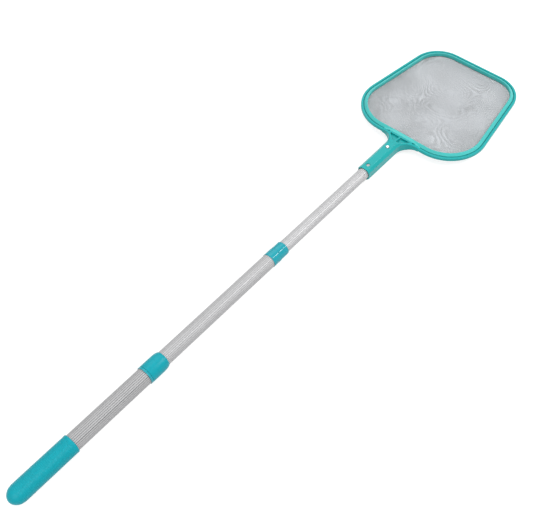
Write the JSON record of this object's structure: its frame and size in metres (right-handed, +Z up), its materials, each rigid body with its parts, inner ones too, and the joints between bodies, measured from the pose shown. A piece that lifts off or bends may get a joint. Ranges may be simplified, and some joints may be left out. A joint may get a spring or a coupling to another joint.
{
  "type": "leaf skimmer net",
  "caption": "Pool leaf skimmer: a flat rounded-square net in a moulded frame on a telescopic pole with twist-lock collars and a ribbed grip.",
  "frame": {"origin": "centre of the bounding box's bottom face; the pole's axis is 14 mm above it", "axes": "+Y along the pole from the grip to the net, +Z up out of the net's open side, +X across the net"},
  "size_m": [0.228, 1.04, 0.028],
  "materials": {
    "head_plastic": "satin moulded polypropylene",
    "collar_plastic": "satin moulded plastic",
    "grip_plastic": "soft satin moulded plastic",
    "tube_aluminium": "satin drawn, fluted",
    "white_plastic": "plain moulded",
    "steel": "plain stainless",
    "button_metal": "polished",
    "mesh": "fine woven nylon mesh"
  },
  "bodies": {
    "base": {"grip": "grip_plastic", "lower_tube": "tube_aluminium", "lower_collet_body": "collar_plastic", "lower_collet_rivets": "steel"},
    "lower_nut": {"lower_lock_nut": "collar_plastic"},
    "middle": {"middle_tube": "tube_aluminium", "middle_guide_bush": "white_plastic", "upper_collet_body": "collar_plastic", "upper_collet_rivets": "steel"},
    "upper_nut": {"upper_lock_nut": "collar_plastic"},
    "upper": {"upper_tube": "tube_aluminium", "upper_guide_bush": "white_plastic", "tube_end_plug": "white_plastic", "snap_spring": "steel", "head_frame": "head_plastic", "clamp_ring": "head_plastic", "net_cord": "head_plastic", "net": "mesh"},
    "button": {"snap_button": "button_metal"}
  },
  "joints": [
    {"name": "lower_nut_turn", "type": "hinge", "parent": "base", "child": "lower_nut", "pos_m": [0, -0.275, 0.014], "axis": [0, 1, 0], "range_deg": [0, 180]},
    {"name": "middle_slide", "type": "slide", "parent": "base", "child": "middle", "axis": [0, 1, 0], "range_m": [-0.183, 0]},
    {"name": "upper_nut_turn", "type": "hinge", "parent": "middle", "child": "upper_nut", "pos_m": [0, -0.02, 0.014], "axis": [0, 1, 0], "range_deg": [0, 180]},
    {"name": "upper_slide", "type": "slide", "parent": "middle", "child": "upper", "axis": [0, 1, 0], "range_m": [-0.192, 0]},
    {"name": "button_press", "type": "slide", "parent": "upper", "child": "button", "axis": [0, 0, 1], "range_m": [-0.003, 0], "stiffness_N_per_m": 1200, "springref_m": 0.002, "deforming": ["snap_spring"]}
  ]
}
